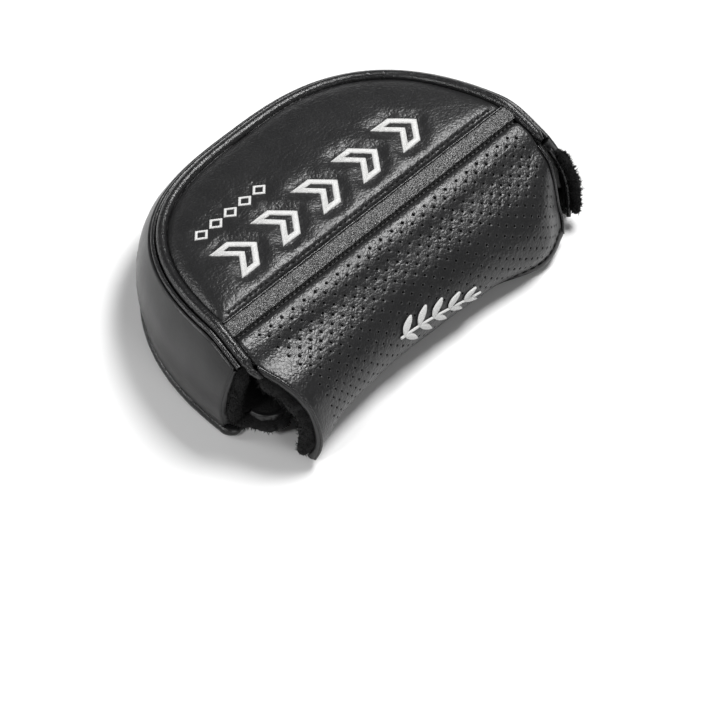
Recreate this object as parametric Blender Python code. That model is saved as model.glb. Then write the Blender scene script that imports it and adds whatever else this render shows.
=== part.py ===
"""Magnetic-flap cover for a mallet putter head, as the sewn layers it is made of.

The cover lies on its crown side: the embroidered half-moon sole panel is up, the heel is at -X,
the toe at +X, and the perforated flap that closes over the putter's face is at -Y.
All sizes below are in millimetres; Y is counted from the seam between sole panel and trim strip,
and SEAM_Y puts that seam so that the origin is under the middle of the whole cover.
"""
import math

import bmesh
import bpy
import numpy as np
from mathutils import Vector

MM = 0.001
GAP = 0.3                    # clearance between pieces that touch

# Outlines in plan: half width, Y of the widest place, depth behind it, superellipse power
SEAM_Y = -10.5
SOLE_OUTLINE = (62.3, -33.0, 83.5, 2.95)
CROWN_OUTLINE = (66.7, -9.0, 64.5, 2.3)

# Heights above the surface that the cover lies on
SEAM_HEIGHT = 33.3           # centre of the upper piping at the strip seam
BACK_SLOPE = 0.169           # the sole panel falls towards the back
FRONT_DIP = 0.374            # and the yoke falls towards the flap's fold
LEATHER = 1.0
FOAM = 1.4
PLUSH = 2.4
PANEL_RISE = 1.0             # outer face of the sole panel above the piping's centre
CROWN_BASE = 3.9             # underside of the crown panel

# Strip, yoke and flap fold
STRIP_WIDTH = 5.0
FOLD_Y = -14.5
FOLD_LEAN = 0.6              # each millimetre of depth sets the fold's inner edge this far back
PIPING_END_Y = -14.2

# Pipings and seams
PIPING_RADIUS = 1.3
WELT_RADIUS = 0.8
WELT_OUT = 2.4
WELT_DROP = 1.0
LOWER_PIPING_RADIUS = 1.5
THREAD_RADIUS = 0.3

# Gusset wall
HEEL_MOUTH_Y = -10.5
TOE_MOUTH_TOP_Y = -13.0
TOE_MOUTH_LOW_Y = -25.0
WALL_BULGE = 3.0
HEM = 1.0
HEM_DEPTH = 2.4
HEM_START = 0.26             # shares of the wall's height between which the mouths' edges run
MOUTH_TOP = 0.88
HEM_STITCH_BACK = 3.2
TOE_WELT_RADIUS = 0.7
TOE_WELT_AHEAD = 2.6         # in front of the toe mouth's leather edge
TOE_WELT_IN = 2.6            # and inside the wall's outer face
TOE_ROLL_RADIUS = 1.9
TOE_ROLL_AHEAD = 3.8
TOE_ROLL_OUT = 0.12

# Crown panel's front edge, with a scallop that clears the hosel
CROWN_FRONT_Y = -20.6
CROWN_CORNER = 6.0
SCALLOP_X = -45.0
SCALLOP_RADIUS = 8.5
SCALLOP_DEPTH = 7.2
CROWN_END_X = 61.0

# Closure tongue and magnets
TONGUE_HEEL_X = -34.0
TONGUE_TOE_X = 24.0
TONGUE_ROOT_Y = -22.3
TONGUE_TIP_Y = 12.0
TONGUE_CORNER = 9.0
TONGUE_LEATHER = 0.7
TONGUE_BOARD = 1.0
TONGUE_GAP = 0.2
BOARD_INSET = 2.5
POCKET_CUTTER = 12.0         # longer than any layer is thick
MAGNET_RADIUS = 5.0
MAGNET_XS = (-22.0, -5.0, 12.0)
MAGNET_Y = -1.0

# Flap: sections across the cover from heel edge to toe edge, each from the fold down to the
# bottom edge, as (x, y, z) on the outer leather face
FLAP_SECTIONS = (
    ((-60.2, -15.0, 28.6), (-57.5, -24.0, 26.4), (-55.6, -30.5, 21.8), (-54.6, -34.2, 15.4),
     (-54.4, -36.0, 9.8), (-55.0, -36.3, 5.2), (-56.2, -35.6, 1.4)),
    ((-31.0, -15.0, 28.6), (-31.0, -23.8, 24.6), (-31.0, -29.6, 18.6), (-31.0, -31.8, 12.4),
     (-31.0, -31.0, 7.0), (-31.0, -28.0, 2.6), (-31.0, -23.6, 0.2)),
    ((-4.0, -15.0, 28.6), (-4.0, -23.0, 24.2), (-4.0, -28.6, 18.0), (-4.0, -30.6, 12.0),
     (-4.0, -29.8, 6.6), (-4.0, -27.2, 2.4), (-4.0, -23.4, 0.2)),
    ((24.0, -15.0, 28.6), (24.0, -23.5, 24.2), (24.0, -29.4, 18.2), (24.0, -31.8, 12.2),
     (24.0, -31.4, 7.0), (24.0, -28.6, 2.6), (24.0, -24.2, 0.4)),
    ((45.0, -15.0, 28.6), (45.0, -23.2, 24.4), (45.0, -29.6, 18.8), (44.6, -33.0, 13.0),
     (44.4, -34.2, 8.6), (44.2, -34.0, 5.4), (44.0, -33.2, 2.8)),
    ((59.4, -15.0, 28.6), (58.9, -19.8, 26.0), (58.6, -22.6, 21.4), (58.6, -24.4, 16.2),
     (58.5, -26.2, 11.2), (58.2, -28.4, 7.2), (56.6, -30.6, 3.4)),
)
BINDING_SPAN = 0.022         # part of the flap's width that each edge binding takes
LAYER_END_EDGE = 0.955       # how far down the inner layers reach at the flap's ends
LAYER_END_MIDDLE = 0.74      # and in the middle, where the flap bends under

# Embroidered ornaments
STROKE = 2.2
CHEVRON_XS = (-37.0, -20.0, -3.0, 14.0, 31.0)
CHEVRON_Y = 14.0
CHEVRON_HALF = 6.6
CHEVRON_REACH = 6.5
CHEVRON_DEPTH = 6.0
CHAIN_START_X = -42.0
CHAIN_Y = 28.0
CHAIN_LINKS = 5
CHAIN_STEP = 6.0
CHAIN_HALF = 2.6
SPRIG_SPAN = (0.315, 0.555)  # of the flap's width
SPRIG_ROWS = (0.27, 0.41)    # of the flap's length, at its heel end
SPRIG_SLANT = 0.7            # it runs down towards the toe by this share of its own run

MATERIALS = {
    "black_leather": ((0.018, 0.018, 0.019, 1), 0.42, 0.0),
    "smooth_leather": ((0.022, 0.022, 0.023, 1), 0.36, 0.0),
    "trim_fabric": ((0.012, 0.012, 0.013, 1), 0.85, 0.0),
    "piping_leather": ((0.026, 0.026, 0.027, 1), 0.34, 0.0),
    "foam": ((0.11, 0.11, 0.11, 1), 0.9, 0.0),
    "plush": ((0.006, 0.006, 0.007, 1), 0.97, 0.0),
    "stiffener": ((0.05, 0.05, 0.052, 1), 0.6, 0.0),
    "magnet": ((0.62, 0.62, 0.63, 1), 0.25, 1.0),
    "black_thread": ((0.008, 0.008, 0.008, 1), 0.6, 0.0),
    "white_thread": ((0.78, 0.78, 0.78, 1), 0.45, 0.0),
}


def clear_scene():
    for item in list(bpy.data.objects):
        bpy.data.objects.remove(item, do_unlink=True)


def material(name):
    """The named Principled material, made once."""
    if name in bpy.data.materials:
        return bpy.data.materials[name]
    colour, roughness, metallic = MATERIALS[name]
    made = bpy.data.materials.new(name)
    made.use_nodes = True
    shader = made.node_tree.nodes["Principled BSDF"]
    shader.inputs["Base Color"].default_value = colour
    shader.inputs["Roughness"].default_value = roughness
    shader.inputs["Metallic"].default_value = metallic
    made.diffuse_color = colour
    return made


def world(x, y, z):
    """A point in metres from millimetres, with Y counted from the strip seam."""
    return Vector((x, y + SEAM_Y, z)) * MM


def add_object(name, data, finish):
    made = bpy.data.objects.new(name, data)
    data.materials.append(material(finish))
    bpy.context.collection.objects.link(made)
    return made


def mesh_object(name, points, faces, finish):
    """A closed mesh from world points, its faces turned outwards."""
    form = bmesh.new()
    corners = [form.verts.new(point) for point in points]
    for face in faces:
        form.faces.new([corners[i] for i in face])
    bmesh.ops.recalc_face_normals(form, faces=form.faces)
    data = bpy.data.meshes.new(name)
    form.to_mesh(data)
    form.free()
    return add_object(name, data, finish)


def thick_sheet(name, outer, inner, finish):
    """A sheet between two grids of points of the same size, closed round its rim."""
    rows, cols = len(outer), len(outer[0])
    points = [p for row in outer for p in row] + [p for row in inner for p in row]
    back = rows * cols
    faces = []
    for i in range(rows - 1):
        for j in range(cols - 1):
            a, b = i * cols + j, (i + 1) * cols + j
            faces.append((a, a + 1, b + 1, b))
            faces.append((back + a, back + b, back + b + 1, back + a + 1))
    rim = list(range(cols))
    rim += [i * cols + cols - 1 for i in range(1, rows)]
    rim += [(rows - 1) * cols + j for j in range(cols - 2, -1, -1)]
    rim += [i * cols for i in range(rows - 2, 0, -1)]
    for a, b in zip(rim, rim[1:] + rim[:1]):
        faces.append((a, back + a, back + b, b))
    return mesh_object(name, points, faces, finish)


def plate(name, outline, low, high, finish):
    """A flat plate: an outline in plan between two heights."""
    form = bmesh.new()
    face = form.faces.new([form.verts.new(world(x, y, low)) for x, y in outline])
    walls = bmesh.ops.extrude_face_region(form, geom=[face])
    top = [v for v in walls["geom"] if isinstance(v, bmesh.types.BMVert)]
    bmesh.ops.translate(form, verts=top, vec=(0, 0, (high - low) * MM))
    bmesh.ops.recalc_face_normals(form, faces=form.faces)
    data = bpy.data.meshes.new(name)
    form.to_mesh(data)
    form.free()
    return add_object(name, data, finish)


def slab(name, depths, half_widths, top, thickness, finish):
    """A layer across the cover: straight rows from heel to toe that follow the height top(y)."""
    outer = [[world(-w, y, top(y)), world(w, y, top(y))] for y, w in zip(depths, half_widths)]
    inner = [[p - Vector((0, 0, thickness * MM)) for p in row] for row in outer]
    return thick_sheet(name, outer, inner, finish)


def tube(name, points, radius, finish, resolution=2):
    """A round cord along world points, with filled ends."""
    line = bpy.data.curves.new(name, "CURVE")
    line.dimensions = "3D"
    line.bevel_depth = radius * MM
    line.bevel_resolution = resolution
    line.use_fill_caps = True
    path = line.splines.new("POLY")
    path.points.add(len(points) - 1)
    for spot, point in zip(path.points, points):
        spot.co = (*point, 1)
    return add_object(name, line, finish)


def outline(size, heel_y, toe_y, count, outset=0.0):
    """Points in plan from the heel mouth round the back to the toe mouth, evenly spaced."""
    wide, centre, depth, power = size

    def angle(y):
        ratio = (y - centre) / depth
        return math.copysign(math.asin(abs(ratio) ** (power / 2)), ratio)

    turn = np.linspace(angle(heel_y), math.pi - angle(toe_y), 900)
    x = -wide * np.sign(np.cos(turn)) * np.abs(np.cos(turn)) ** (2 / power)
    y = centre + depth * np.sign(np.sin(turn)) * np.abs(np.sin(turn)) ** (2 / power)
    run = np.concatenate(([0], np.cumsum(np.hypot(np.diff(x), np.diff(y)))))
    even = np.linspace(0, run[-1], count)
    x, y = np.interp(even, run, x), np.interp(even, run, y)
    dx, dy = np.gradient(x), np.gradient(y)
    length = np.hypot(dx, dy)
    return list(zip(x - outset * dy / length, y + outset * dx / length))


def half_width(size, y, inset=0.0):
    """Half the width of an outline at a depth, the outline moved inwards by inset."""
    line = outline(size, FOLD_Y - 12.0, FOLD_Y - 12.0, 401, -inset)[:201]
    return -float(np.interp(y, [p[1] for p in line], [p[0] for p in line]))


def seam_height(y):
    """Height of the upper piping's centre: highest at the strip seam, lower both ways."""
    return SEAM_HEIGHT - (BACK_SLOPE * y if y > 0 else -FRONT_DIP * y)


def panel_height(y):
    return seam_height(y) + PANEL_RISE


def panel_rows(front, back, count):
    """Depths from front to back, closer together towards the back, where the outline turns."""
    return [front + (back - front) * math.sin(i / (count - 1) * math.pi / 2) for i in range(count)]


# ---- the sole side: panel, strip, yoke and the layers under them

def sole_side():
    inset = PIPING_RADIUS + GAP
    back = SOLE_OUTLINE[1] + SOLE_OUTLINE[2] - inset
    rows = panel_rows(0.15, back - 0.5, 14)
    widths = [half_width(SOLE_OUTLINE, y, inset) for y in rows]
    slab("sole_panel", rows, widths, panel_height, LEATHER, "black_leather")
    rows = (-STRIP_WIDTH + 0.15, -0.15)
    slab("trim_strip", rows, [half_width(SOLE_OUTLINE, y, inset) for y in rows], panel_height,
         LEATHER, "trim_fabric")
    rows = (FOLD_Y + 0.15, -STRIP_WIDTH - 0.15)
    slab("flap_yoke", rows, [half_width(SOLE_OUTLINE, y, inset) for y in rows], panel_height,
         LEATHER, "black_leather")
    rows = [FOLD_Y + FOLD_LEAN * 2, 0.0] + panel_rows(0.0, back - 1.0, 12)[1:]
    widths = [half_width(SOLE_OUTLINE, y, inset + 0.4) for y in rows]
    foam_top = LEATHER + GAP
    slab("sole_foam", rows, widths, lambda y: panel_height(y) - foam_top, FOAM, "foam")
    lining_top = foam_top + FOAM + GAP
    rows = [FOLD_Y + FOLD_LEAN * 4] + rows[1:]
    slab("sole_lining", rows, widths, lambda y: panel_height(y) - lining_top, PLUSH, "plush")


# ---- the gusset wall: leather, foam and plush, bulging between the two pipings

def wall_layer(name, depth, thickness, low, drop, finish, back=0.0, stations=30, rows=5):
    """One layer of the wall, depth millimetres inside its outer face, back from the mouths."""
    top_line = outline(SOLE_OUTLINE, HEEL_MOUTH_Y + back, TOE_MOUTH_TOP_Y + back, stations,
                       WELT_OUT)
    low_line = outline(CROWN_OUTLINE, HEEL_MOUTH_Y + back, TOE_MOUTH_LOW_Y + back, stations)

    def row(i, inward):
        points = []
        for j in range(stations):
            (tx, ty), (lx, ly) = top_line[j], low_line[j]
            top = seam_height(ty) - drop
            share = i / (rows - 1)
            height = low + (top - low) * share
            rise = (height - CROWN_BASE) / (seam_height(ty) - WELT_DROP - CROWN_BASE)
            before, after = low_line[max(j - 1, 0)], low_line[min(j + 1, stations - 1)]
            along = Vector((after[0] - before[0], after[1] - before[1])).normalized()
            bulge = WALL_BULGE * math.sin(math.pi * min(max(rise, 0), 1)) - inward
            points.append(world(lx + (tx - lx) * rise - along.y * bulge,
                                ly + (ty - ly) * rise + along.x * bulge, height))
        return points

    outer = [row(i, depth) for i in range(rows)]
    inner = [row(i, depth + thickness) for i in range(rows)]
    return thick_sheet(name, outer, inner, finish)


def wall():
    leather_drop = WELT_DROP + WELT_RADIUS + GAP
    wall_layer("gusset_wall", 0.0, LEATHER, CROWN_BASE - 0.4, leather_drop, "smooth_leather")
    crown_top = CROWN_BASE + LEATHER + FOAM + PLUSH + 3 * GAP
    sole_depth = LEATHER + FOAM + PLUSH + 3 * GAP - PANEL_RISE
    wall_layer("wall_foam", LEATHER + GAP, FOAM, crown_top, sole_depth, "foam", HEM, rows=4)
    wall_layer("wall_lining", LEATHER + FOAM + 2 * GAP, PLUSH, crown_top, sole_depth, "plush",
               HEM, rows=4)


def mouth_edge(top_y, low_y, side, ahead, out, start=0.0):
    """Points up the wall's front edge on one side, in front of it and outside its face."""
    points = []
    for step in range(6):
        share = start + (MOUTH_TOP - start) * step / 5
        height = CROWN_BASE + (seam_height(top_y) - WELT_DROP - CROWN_BASE) * share
        top_x = half_width(SOLE_OUTLINE, top_y) + WELT_OUT
        low_x = half_width(CROWN_OUTLINE, low_y)
        x = low_x + (top_x - low_x) * share + WALL_BULGE * math.sin(math.pi * share) + out
        points.append((side * x, low_y + (top_y - low_y) * share - ahead, height))
    return points


def mouths():
    """Hems on the wall's two front edges, and the toe mouth's thin welt and plush roll."""
    for name, top_y, low_y, side in (("heel_hem", HEEL_MOUTH_Y, HEEL_MOUTH_Y, -1),
                                     ("toe_hem", TOE_MOUTH_TOP_Y, TOE_MOUTH_LOW_Y, 1)):
        rows = [[mouth_edge(top_y, low_y, side, ahead, out, HEM_START)
                 for out in (0.0, -HEM_DEPTH)] for ahead in (2 * GAP, 2 * GAP + HEM)]
        sheets = [[[world(*line[k]) for line in pair] for k in range(6)] for pair in rows]
        thick_sheet(name, sheets[1], sheets[0], "smooth_leather")
    welt = mouth_edge(TOE_MOUTH_TOP_Y, TOE_MOUTH_LOW_Y, 1, TOE_WELT_AHEAD, -TOE_WELT_IN)
    tube("toe_mouth_welt", [world(*p) for p in welt], TOE_WELT_RADIUS, "piping_leather", 1)
    roll = mouth_edge(TOE_MOUTH_TOP_Y, TOE_MOUTH_LOW_Y, 1, TOE_ROLL_AHEAD, TOE_ROLL_OUT)
    tube("toe_plush_roll", [world(*p) for p in roll], TOE_ROLL_RADIUS, "plush", 1)


def pipings():
    line = outline(SOLE_OUTLINE, PIPING_END_Y, PIPING_END_Y, 46)
    tube("upper_piping", [world(x, y, seam_height(y)) for x, y in line], PIPING_RADIUS,
         "piping_leather")
    line = outline(SOLE_OUTLINE, HEEL_MOUTH_Y - 1.0, TOE_MOUTH_TOP_Y - 1.0, 44, WELT_OUT)
    tube("upper_welt", [world(x, y, seam_height(y) - WELT_DROP) for x, y in line],
         WELT_RADIUS, "piping_leather", 1)
    line = outline(CROWN_OUTLINE, HEEL_MOUTH_Y - 0.8, TOE_MOUTH_LOW_Y, 42)
    tube("lower_piping", [world(x, y, LOWER_PIPING_RADIUS) for x, y in line],
         LOWER_PIPING_RADIUS, "piping_leather")


# ---- the crown side: the panel that the putter's crown lies against, and its magnets

def crown_outline(inset, front):
    """Plan of a crown layer: the back curve, then the front edge with its corners and scallop."""
    curve = outline(CROWN_OUTLINE, HEEL_MOUTH_Y, TOE_MOUTH_LOW_Y + CROWN_CORNER, 34, -inset)
    return curve + crown_front(front)[::-1]


def crown_front(front, count=11):
    """The front edge from heel to toe: a rounded corner, the scallop, a straight, a corner."""
    corner = CROWN_CORNER
    points = []
    for i in range(4):
        turn = i / 3 * math.pi / 2
        points.append((-CROWN_END_X + corner * (1 - math.cos(turn)),
                       front + corner * (1 - math.sin(turn))))
    for i in range(count):
        turn = math.pi * i / (count - 1)
        points.append((SCALLOP_X - SCALLOP_RADIUS * math.cos(turn),
                       front + SCALLOP_DEPTH * math.sin(turn)))
    for i in range(4):
        turn = i / 3 * math.pi / 2
        points.append((CROWN_END_X - corner * (1 - math.sin(turn)),
                       front + corner * (1 - math.cos(turn))))
    return points


def cut_pockets(target, radius):
    """Round through pockets for the magnets."""
    for k, x in enumerate(MAGNET_XS):
        bpy.ops.mesh.primitive_cylinder_add(vertices=24, radius=radius * MM,
                                            depth=POCKET_CUTTER * MM,
                                            location=world(x, MAGNET_Y, CROWN_BASE))
        cutter = bpy.context.object
        cutter.name = f"{target.name}_cutter_{k + 1}"
        cutter.hide_render = True
        cutter.display_type = "WIRE"
        cut = target.modifiers.new("pocket", "BOOLEAN")
        cut.operation = "DIFFERENCE"
        cut.object = cutter


def magnet(name, x, low, high, parent=None):
    bpy.ops.mesh.primitive_cylinder_add(vertices=20, radius=MAGNET_RADIUS * MM,
                                        depth=(high - low) * MM,
                                        location=world(x, MAGNET_Y, (low + high) / 2))
    made = bpy.context.object
    made.name = made.data.name = name
    made.data.materials.append(material("magnet"))
    ride(made, parent)
    return made


def crown():
    inset = LEATHER + GAP
    low = CROWN_BASE
    plate("crown_panel", crown_outline(inset, CROWN_FRONT_Y), low, low + LEATHER, "black_leather")
    low += LEATHER + GAP
    foam = plate("crown_foam", crown_outline(inset, CROWN_FRONT_Y), low, low + FOAM, "foam")
    cut_pockets(foam, MAGNET_RADIUS + GAP)
    for k, x in enumerate(MAGNET_XS):
        magnet(f"crown_magnet_{k + 1}", x, low, low + FOAM)
    low += FOAM + GAP
    plate("crown_lining", crown_outline(inset, CROWN_FRONT_Y), low, low + PLUSH, "plush")
    top = low + PLUSH
    edge = crown_front(CROWN_FRONT_Y - GAP)
    outer, inner = [], []
    for height in (CROWN_BASE, top):
        outer.append([world(x, y - HEM, height) for x, y in edge])
        inner.append([world(x, y, height) for x, y in edge])
    thick_sheet("crown_front_binding", outer, inner, "smooth_leather")


# ---- the flap over the putter's face

def through(points, share):
    """A smooth curve through points, at a share of its length from 0 to 1."""
    spans = len(points) - 1
    place = min(max(share, 0.0), 1.0) * spans
    i = min(int(place), spans - 1)
    t = place - i
    a, b = points[i], points[i + 1]
    before = points[i - 1] if i > 0 else 2 * a - b
    after = points[i + 2] if i + 2 <= spans else 2 * b - a
    return 0.5 * (2 * a + (b - before) * t + (2 * before - 5 * a + 4 * b - after) * t ** 2
                  + (3 * a - before - 3 * b + after) * t ** 3)


SECTION_POINTS = [[Vector(p) for p in section] for section in FLAP_SECTIONS]


def flap_face(across, down):
    """A point on the flap's outer face, across from heel to toe and down from fold to edge."""
    return through([through(section, down) for section in SECTION_POINTS], across)


def flap_point(across, down, depth):
    """A world point at a depth inside the flap's outer face."""
    step = 0.01
    a = flap_face(min(across + step, 1), down) - flap_face(max(across - step, 0), down)
    b = flap_face(across, min(down + step, 1)) - flap_face(across, max(down - step, 0))
    inward = a.cross(b).normalized()
    spot = flap_face(across, down) + inward * depth
    return world(*spot)


def flap_layer(name, start, end, depth, thickness, finish, reach, cols=17, rows=12, top=0.0,
               slant=0.0):
    """One layer of the flap between two shares of its width; reach(across) is its lower end."""
    outer, inner = [], []
    for i in range(rows):
        for sheet, d in ((outer, depth), (inner, depth + thickness)):
            row = []
            for j in range(cols):
                across = start + (end - start) * j / (cols - 1)
                down = top + (reach(across) - top) * i / (rows - 1) + slant * (across - start)
                row.append(flap_point(across, down, d))
            sheet.append(row)
    return thick_sheet(name, outer, inner, finish)


def layer_end(across):
    """Inner layers stop above the bend in the middle and reach the edge at both ends."""
    ends = max(0.0, 1 - across / 0.20) + max(0.0, 1 - (1 - across) / 0.22)
    ends = ends * ends * (3 - 2 * ends)
    return LAYER_END_MIDDLE + (LAYER_END_EDGE - LAYER_END_MIDDLE) * ends


def face_flap(hinge):
    start, end = BINDING_SPAN, 1 - BINDING_SPAN
    stack = LEATHER + FOAM + PLUSH + 2 * GAP
    pieces = [
        flap_layer("face_flap", start, end, 0.0, LEATHER, "black_leather", lambda a: 1.0,
                   cols=21, rows=15),
        flap_layer("flap_foam", start, end, LEATHER + GAP, FOAM, "foam", layer_end, top=0.03),
        flap_layer("flap_lining", start, end, LEATHER + FOAM + 2 * GAP, PLUSH, "plush",
                   layer_end, top=0.03),
        flap_layer("heel_edge_binding", 0.0, start - 0.003, 0.0, stack, "smooth_leather",
                   lambda a: 1.0, cols=2, top=0.03),
        flap_layer("toe_edge_binding", end + 0.003, 1.0, 0.0, stack, "smooth_leather",
                   lambda a: 1.0, cols=2, top=0.03),
        flap_layer("flap_sprig", *SPRIG_SPAN, -0.9, 0.7, "white_thread",
                   lambda a: SPRIG_ROWS[1], cols=9, rows=3, top=SPRIG_ROWS[0], slant=SPRIG_SLANT),
    ]
    for piece in pieces:
        ride(piece, hinge)


def tongue(hinge):
    """The tongue that wraps under to the crown panel, with its magnets in a stiff board."""
    def shape(inset):
        corner = TONGUE_CORNER - inset
        heel, toe = TONGUE_HEEL_X + inset, TONGUE_TOE_X - inset
        tip = TONGUE_TIP_Y - inset
        points = [(toe, TONGUE_ROOT_Y + inset)]
        for centre, first in ((toe - corner, 0.0), (heel + corner, math.pi / 2)):
            for i in range(6):
                turn = first + i / 5 * math.pi / 2
                points.append((centre + corner * math.cos(turn),
                               tip - corner + corner * math.sin(turn)))
        points.append((heel, TONGUE_ROOT_Y + inset))
        return points

    high = TONGUE_LEATHER
    ride(plate("tongue_leather", shape(0.0), 0.0, high, "black_leather"), hinge)
    low = high + TONGUE_GAP
    high = low + TONGUE_BOARD
    board = plate("tongue_board", shape(BOARD_INSET), low, high, "stiffener")
    cut_pockets(board, MAGNET_RADIUS + GAP)
    ride(board, hinge)
    for k, x in enumerate(MAGNET_XS):
        magnet(f"tongue_magnet_{k + 1}", x, low, high, hinge)
    low = high + TONGUE_GAP
    ride(plate("tongue_lining", shape(0.6), low, low + TONGUE_LEATHER, "smooth_leather"), hinge)


# ---- threads and embroidery

def threads():
    for name, y in (("strip_topstitch", 1.5), ("yoke_topstitch", -STRIP_WIDTH - 0.9)):
        reach = half_width(SOLE_OUTLINE, y) - 5.0
        height = panel_height(y) + THREAD_RADIUS + 0.1
        tube(name, [world(-reach, y, height), world(reach, y, height)], THREAD_RADIUS,
             "black_thread", 1)
    line = mouth_edge(HEEL_MOUTH_Y, HEEL_MOUTH_Y, -1, -HEM_STITCH_BACK, 0.9)
    tube("heel_hem_stitch", [world(*p) for p in line[:-1]], THREAD_RADIUS, "black_thread", 1)


def chevron(name, x):
    """A hollow chevron of one stroke, pointing to the toe, standing on the sole panel."""
    def ring(margin):
        reach, half, depth = CHEVRON_REACH - margin, CHEVRON_HALF - margin, CHEVRON_DEPTH
        return [(x - reach, CHEVRON_Y - half), (x, CHEVRON_Y - half),
                (x + depth, CHEVRON_Y), (x, CHEVRON_Y + half), (x - reach, CHEVRON_Y + half),
                (x - reach + depth, CHEVRON_Y)]

    outer, inner = ring(0.0), ring(STROKE)
    inner[2] = (inner[2][0] - STROKE * 1.4, CHEVRON_Y)
    inner[5] = (inner[5][0] + STROKE * 0.4, CHEVRON_Y)
    corners = len(outer)
    points = []
    for rise in (0.25, 0.95):
        for px, py in outer + inner:
            points.append(world(px, py, panel_height(py) + rise))
    step = 2 * corners
    faces = []
    for i in range(corners):
        j = (i + 1) % corners
        faces += [(i, j, corners + j, corners + i),
                  (step + i, step + corners + i, step + corners + j, step + j),
                  (i, step + i, step + j, j),
                  (corners + i, corners + j, step + corners + j, step + corners + i)]
    return mesh_object(name, points, faces, "white_thread")


def embroidery():
    for k, x in enumerate(CHEVRON_XS):
        chevron(f"sole_chevron_{k + 1}", x)
    edge = []
    for i in range(2 * CHAIN_LINKS + 1):
        edge.append((CHAIN_START_X + CHAIN_STEP * i / 2, CHAIN_HALF if i % 2 else 0.8))
    loop = [(x, CHAIN_Y + half) for x, half in edge]
    loop += [(x, CHAIN_Y - half) for x, half in edge[::-1]]
    points = [world(x, y, panel_height(y) + rise) for rise in (0.25, 0.85) for x, y in loop]
    count = len(loop)
    faces = [tuple(range(count)), tuple(range(2 * count - 1, count - 1, -1))]
    faces += [(i, (i + 1) % count, count + (i + 1) % count, count + i) for i in range(count)]
    mesh_object("sole_chain", points, faces, "white_thread")


# ---- joints: each moving piece hangs on an empty that stands on its fold

def joint_empty(name, y, z, parent=None):
    made = bpy.data.objects.new(name, None)
    bpy.context.collection.objects.link(made)
    made.location = world(0, y, z)
    if parent:
        made.parent = parent
        made.location -= parent.location
    bpy.context.view_layer.update()
    return made


def ride(piece, hinge):
    if hinge is not None:
        piece.parent = hinge
        piece.matrix_parent_inverse = hinge.matrix_world.inverted()


def main():
    clear_scene()
    flap_fold = joint_empty("flap_fold", FOLD_Y - 0.15, panel_height(FOLD_Y) + 0.1)
    tongue_fold = joint_empty("tongue_fold", TONGUE_ROOT_Y - 0.15, 0.0, flap_fold)
    sole_side()
    wall()
    mouths()
    pipings()
    crown()
    face_flap(flap_fold)
    tongue(tongue_fold)
    threads()
    embroidery()


main()
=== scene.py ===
"""Looks of the magnetic-flap cover for a mallet putter head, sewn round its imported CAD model.

The cover lies on its crown side with the embroidered sole panel up. The heel is at -X, the toe at
+X, and the perforated flap is at -Y. Sizes are in millimetres, with Y counted from the seam between
sole panel and trim strip, as on the pattern that the pieces are cut from.
"""
import math

import bpy
import numpy as np
from mathutils import Matrix, Vector, noise

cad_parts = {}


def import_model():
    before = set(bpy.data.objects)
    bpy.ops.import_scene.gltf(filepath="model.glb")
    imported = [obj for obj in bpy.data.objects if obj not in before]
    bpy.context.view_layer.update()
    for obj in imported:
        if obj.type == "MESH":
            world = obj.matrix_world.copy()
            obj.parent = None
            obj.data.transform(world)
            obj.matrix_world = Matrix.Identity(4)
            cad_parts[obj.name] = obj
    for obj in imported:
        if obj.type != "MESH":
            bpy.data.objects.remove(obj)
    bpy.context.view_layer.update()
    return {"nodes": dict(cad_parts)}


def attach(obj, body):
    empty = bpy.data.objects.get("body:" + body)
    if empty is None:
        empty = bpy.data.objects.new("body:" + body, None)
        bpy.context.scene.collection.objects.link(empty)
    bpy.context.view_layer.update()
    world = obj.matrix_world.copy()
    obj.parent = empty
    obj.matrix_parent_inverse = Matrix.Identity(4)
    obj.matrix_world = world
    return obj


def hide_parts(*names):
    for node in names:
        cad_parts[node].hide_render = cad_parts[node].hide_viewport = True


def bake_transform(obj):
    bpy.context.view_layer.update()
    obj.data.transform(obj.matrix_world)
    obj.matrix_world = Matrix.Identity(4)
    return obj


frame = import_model()

MM = 0.001

# The pattern: outlines as half width, Y of the widest place, depth behind it, superellipse power
SEAM_Y = -10.5
SOLE_OUTLINE = (62.3, -33.0, 83.5, 2.95)
CROWN_OUTLINE = (66.7, -9.0, 64.5, 2.3)
SEAM_HEIGHT = 33.3
BACK_SLOPE = 0.169
FRONT_DIP = 0.374
SEAM_ROUNDING = 1.6
PANEL_RISE = 1.0
CROWN_BASE = 3.9
LEATHER = 1.0
STRIP_WIDTH = 5.0
FOLD_Y = -14.5
MAIN_CORD = 1.3
OUTER_WELT = 0.8
WELT_OUT = 2.4
WELT_DROP = 1.0
BASE_CORD = 1.5
HEEL_MOUTH_Y = -10.5
TOE_MOUTH_TOP_Y = -13.0
TOE_MOUTH_LOW_Y = -25.0
WALL_BULGE = 3.0

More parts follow.
